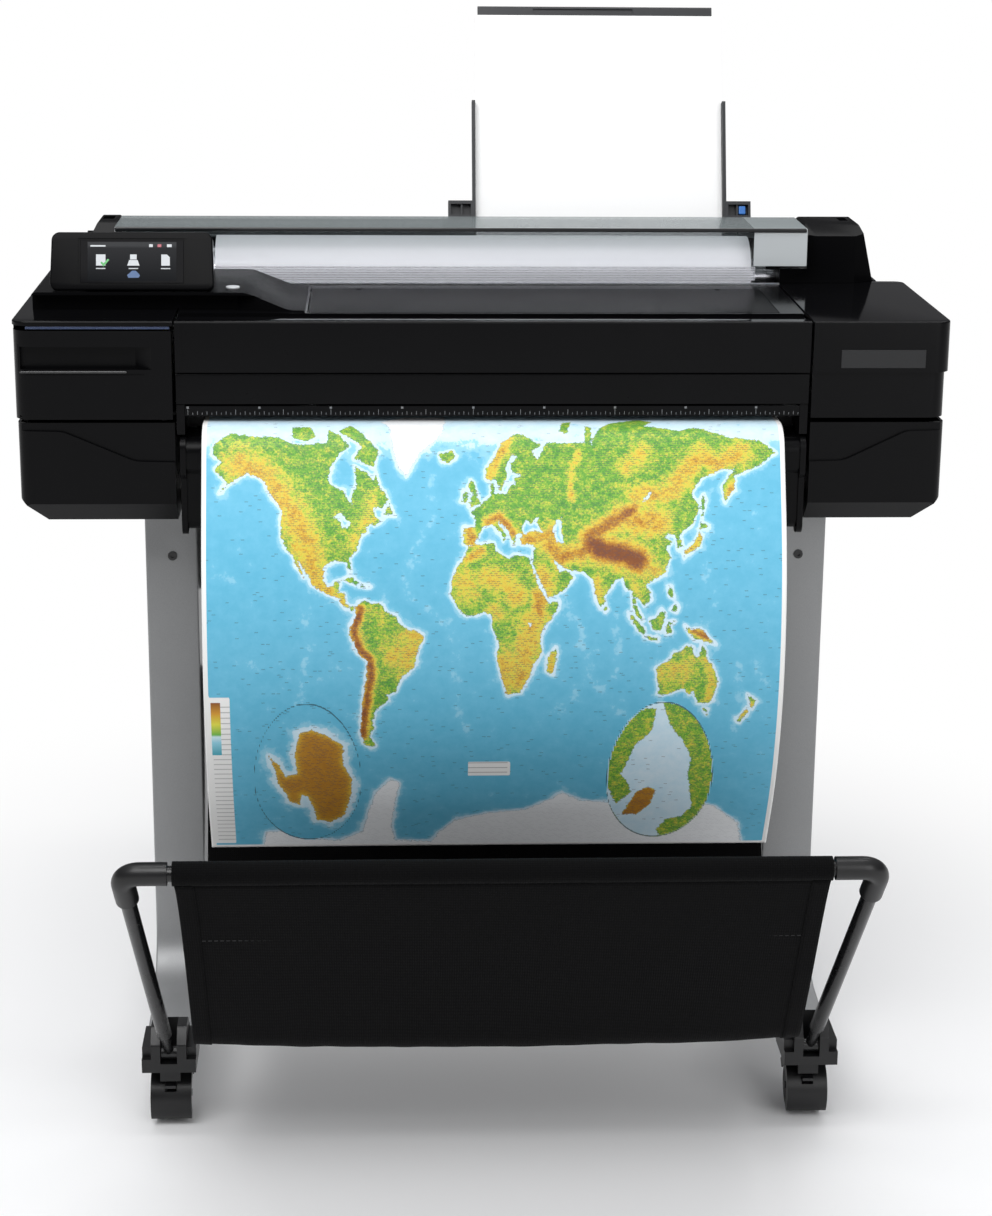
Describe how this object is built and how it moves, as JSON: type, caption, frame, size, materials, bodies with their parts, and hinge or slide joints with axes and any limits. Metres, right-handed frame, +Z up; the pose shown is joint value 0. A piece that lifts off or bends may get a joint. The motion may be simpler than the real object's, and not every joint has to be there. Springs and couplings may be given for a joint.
{
  "type": "large format plotter",
  "caption": "Wide roll plotter on a wheeled two-leg stand, with a see-through roll cover, a rear sheet tray, a tilting touch display and a fabric basket for prints.",
  "frame": {"origin": "on the floor, under the middle of the overall box", "axes": "+X to the right as seen by a person facing the front, +Y to the back, +Z up"},
  "size_m": [0.987, 0.873, 1.1611],
  "materials": {
    "body_satin": "satin black moulded plastic",
    "deck_gloss": "high gloss black",
    "cover_smoke": "clear smoked plastic",
    "leg_paint": "silver grey powder coat",
    "bracket_black": "moulded black",
    "caster_hood": "moulded black",
    "caster_tread": "dark grey tread",
    "tube_black": "black painted tube",
    "basket_cloth": "black woven mesh",
    "paper_white": "uncoated white",
    "paper_print": "coated paper with a printed map",
    "shaft_steel": "ground steel",
    "plate_steel": "zinc plated sheet",
    "roller_rubber": "grit coated roller",
    "belt_rubber": "toothed belt and motor black",
    "inner_plastic": "moulded dark grey",
    "ink_black": "black cartridge",
    "ink_cyan": "cyan cartridge",
    "ink_magenta": "magenta cartridge",
    "ink_yellow": "yellow cartridge",
    "circuit_green": "circuit board and sockets",
    "tray_black": "matt black tray",
    "tray_grey": "dark grey",
    "display_black": "gloss black display case",
    "button_light": "light grey button",
    "screw_black": "black screws and pins"
  },
  "bodies": {
    "frame": {"basket_fabric": "basket_cloth", "carriage_frame": "plate_steel", "deck_plate": "deck_gloss", "electronics": "circuit_green", "fasteners": "screw_black", "foot_brackets": "bracket_black", "front_cover": "body_satin", "ink_system": "inner_plastic", "left_cover": "body_satin", "leg_left": "leg_paint", "leg_right": "leg_paint", "lower_housing_left": "body_satin", "lower_housing_right": "body_satin", "motors_and_belts": "belt_rubber", "output_guide": "body_satin", "output_panel": "body_satin", "panel_support": "deck_gloss", "platen": "inner_plastic", "printed_sheet": "paper_print", "rear_housing": "body_satin", "right_cover": "body_satin", "roll_end_left": "body_satin", "roll_end_right": "body_satin", "stand_crossbars": "tube_black", "tray_base": "tray_black", "tray_sheets": "paper_white"},
    "caster_front_left": {"caster_fork_front_left": "caster_hood"},
    "wheels_front_left": {"caster_wheels_front_left": "caster_tread"},
    "caster_rear_left": {"caster_fork_rear_left": "caster_hood"},
    "wheels_rear_left": {"caster_wheels_rear_left": "caster_tread"},
    "brake_left": {"brake_lever_left": "screw_black"},
    "caster_front_right": {"caster_fork_front_right": "caster_hood"},
    "wheels_front_right": {"caster_wheels_front_right": "caster_tread"},
    "caster_rear_right": {"caster_fork_rear_right": "caster_hood"},
    "wheels_rear_right": {"caster_wheels_rear_right": "caster_tread"},
    "brake_right": {"brake_lever_right": "screw_black"},
    "basket": {"basket_frame": "tube_black", "basket_elbows": "bracket_black"},
    "cover": {"roll_cover": "cover_smoke"},
    "lid": {"access_lid": "deck_gloss"},
    "door": {"ink_door": "body_satin"},
    "display": {"display_housing": "display_black"},
    "button": {"power_button": "button_light"},
    "roll": {"paper_roll": "paper_white", "spindle": "shaft_steel"},
    "feed": {"feed_roller": "roller_rubber"},
    "pinch": {"pinch_rollers": "shaft_steel"},
    "feed_motor": {"feed_motor_shaft": "shaft_steel"},
    "carriage": {"carriage": "inner_plastic", "printhead": "ink_black"},
    "pulley_drive": {"belt_pulley_drive": "shaft_steel"},
    "pulley_idler": {"belt_pulley_idler": "shaft_steel"},
    "cutter": {"cutter": "inner_plastic"},
    "ink_1": {"ink_cartridge_1": "ink_black"},
    "ink_2": {"ink_cartridge_2": "ink_cyan"},
    "ink_3": {"ink_cartridge_3": "ink_magenta"},
    "ink_4": {"ink_cartridge_4": "ink_yellow"},
    "extension": {"tray_extension": "tray_grey"},
    "guide_right": {"tray_guide_right": "tray_grey"},
    "guide_left": {"tray_guide_left": "tray_grey"}
  },
  "joints": [
    {"name": "swivel_front_left", "type": "hinge", "parent": "frame", "child": "caster_front_left", "pos_m": [-0.3403, -0.19879, 0.066], "axis": [0, 0, 1], "continuous": true},
    {"name": "wheel_spin_front_left", "type": "hinge", "parent": "caster_front_left", "child": "wheels_front_left", "pos_m": [-0.3403, -0.18079, 0.0275], "axis": [1, 0, 0], "continuous": true},
    {"name": "swivel_rear_left", "type": "hinge", "parent": "frame", "child": "caster_rear_left", "pos_m": [-0.3403, 0.25221, 0.066], "axis": [0, 0, 1], "continuous": true},
    {"name": "wheel_spin_rear_left", "type": "hinge", "parent": "caster_rear_left", "child": "wheels_rear_left", "pos_m": [-0.3403, 0.27021, 0.0275], "axis": [1, 0, 0], "continuous": true},
    {"name": "brake_press_left", "type": "hinge", "parent": "caster_front_left", "child": "brake_left", "pos_m": [-0.3403, -0.20199, 0.0495], "axis": [1, 0, 0], "range_deg": [0, 12]},
    {"name": "swivel_front_right", "type": "hinge", "parent": "frame", "child": "caster_front_right", "pos_m": [0.3557, -0.19879, 0.066], "axis": [0, 0, 1], "continuous": true},
    {"name": "wheel_spin_front_right", "type": "hinge", "parent": "caster_front_right", "child": "wheels_front_right", "pos_m": [0.3557, -0.18079, 0.0275], "axis": [1, 0, 0], "continuous": true},
    {"name": "swivel_rear_right", "type": "hinge", "parent": "frame", "child": "caster_rear_right", "pos_m": [0.3557, 0.25221, 0.066], "axis": [0, 0, 1], "continuous": true},
    {"name": "wheel_spin_rear_right", "type": "hinge", "parent": "caster_rear_right", "child": "wheels_rear_right", "pos_m": [0.3557, 0.27021, 0.0275], "axis": [1, 0, 0], "continuous": true},
    {"name": "brake_press_right", "type": "hinge", "parent": "caster_front_right", "child": "brake_right", "pos_m": [0.3557, -0.20199, 0.0495], "axis": [1, 0, 0], "range_deg": [0, 12]},
    {"name": "basket_fold", "type": "hinge", "parent": "frame", "child": "basket", "pos_m": [0, -0.21279, 0.091], "axis": [-1, 0, 0], "range_deg": [0, 34]},
    {"name": "roll_cover_hinge", "type": "hinge", "parent": "frame", "child": "cover", "pos_m": [0, 0.30221, 0.884], "axis": [-1, 0, 0], "range_deg": [0, 55]},
    {"name": "lid_hinge", "type": "hinge", "parent": "frame", "child": "lid", "pos_m": [0, 0.10821, 0.8636], "axis": [-1, 0, 0], "range_deg": [0, 85]},
    {"name": "ink_door_hinge", "type": "hinge", "parent": "frame", "child": "door", "pos_m": [0, -0.09779, 0.766], "axis": [1, 0, 0], "range_deg": [0, 90]},
    {"name": "display_tilt", "type": "hinge", "parent": "frame", "child": "display", "pos_m": [-0.373, -0.01139, 0.89308], "axis": [-1, 0, 0], "range_deg": [0, 45]},
    {"name": "power_press", "type": "slide", "parent": "frame", "child": "button", "axis": [0, 0, -1], "range_m": [0, 0.0012], "stiffness_N_per_m": 300, "springref_m": -0.002},
    {"name": "roll_spin", "type": "hinge", "parent": "frame", "child": "roll", "pos_m": [0, 0.19721, 0.87], "axis": [1, 0, 0], "continuous": true},
    {"name": "feed_roller_spin", "type": "hinge", "parent": "frame", "child": "feed", "pos_m": [0, 0.08221, 0.74705], "axis": [1, 0, 0], "continuous": true},
    {"name": "pinch_spin", "type": "hinge", "parent": "frame", "child": "pinch", "pos_m": [0, 0.08221, 0.76735], "axis": [1, 0, 0], "continuous": true},
    {"name": "feed_motor_spin", "type": "hinge", "parent": "frame", "child": "feed_motor", "pos_m": [0, 0.02521, 0.712], "axis": [1, 0, 0], "continuous": true},
    {"name": "carriage_slide", "type": "slide", "parent": "frame", "child": "carriage", "axis": [1, 0, 0], "range_m": [-0.8, 0]},
    {"name": "pulley_drive_spin", "type": "hinge", "parent": "frame", "child": "pulley_drive", "pos_m": [0.466, 0.11421, 0.822], "axis": [0, 1, 0], "continuous": true},
    {"name": "pulley_idler_spin", "type": "hinge", "parent": "frame", "child": "pulley_idler", "pos_m": [-0.466, 0.11421, 0.822], "axis": [0, 1, 0], "continuous": true},
    {"name": "cutter_slide", "type": "slide", "parent": "frame", "child": "cutter", "axis": [1, 0, 0], "range_m": [-0.61, 0]},
    {"name": "ink_slide_1", "type": "slide", "parent": "frame", "child": "ink_1", "axis": [0, -1, 0], "range_m": [0, 0.01]},
    {"name": "ink_slide_2", "type": "slide", "parent": "frame", "child": "ink_2", "axis": [0, -1, 0], "range_m": [0, 0.01]},
    {"name": "ink_slide_3", "type": "slide", "parent": "frame", "child": "ink_3", "axis": [0, -1, 0], "range_m": [0, 0.01]},
    {"name": "ink_slide_4", "type": "slide", "parent": "frame", "child": "ink_4", "axis": [0, -1, 0], "range_m": [0, 0.01]},
    {"name": "tray_extension_slide", "type": "slide", "parent": "frame", "child": "extension", "axis": [0, 0.3173, 0.9483], "range_m": [-0.095, 0]},
    {"name": "tray_guide_right_slide", "type": "slide", "parent": "frame", "child": "guide_right", "axis": [1, 0, 0], "range_m": [0, 0.016]},
    {"name": "tray_guide_left_slide", "type": "slide", "parent": "frame", "child": "guide_left", "axis": [1, 0, 0], "range_m": [-0.016, 0]}
  ],
  "couplings": [
    {"joint": "feed_roller_spin", "follows": "roll_spin", "ratio": -3.5385},
    {"joint": "pinch_spin", "follows": "roll_spin", "ratio": 7.6667},
    {"joint": "feed_motor_spin", "follows": "roll_spin", "ratio": -5.5043},
    {"joint": "pulley_drive_spin", "follows": "carriage_slide", "rad_per_m": 103.09},
    {"joint": "pulley_idler_spin", "follows": "carriage_slide", "rad_per_m": 103.09},
    {"joint": "tray_guide_left_slide", "follows": "tray_guide_right_slide", "ratio": -1}
  ]
}
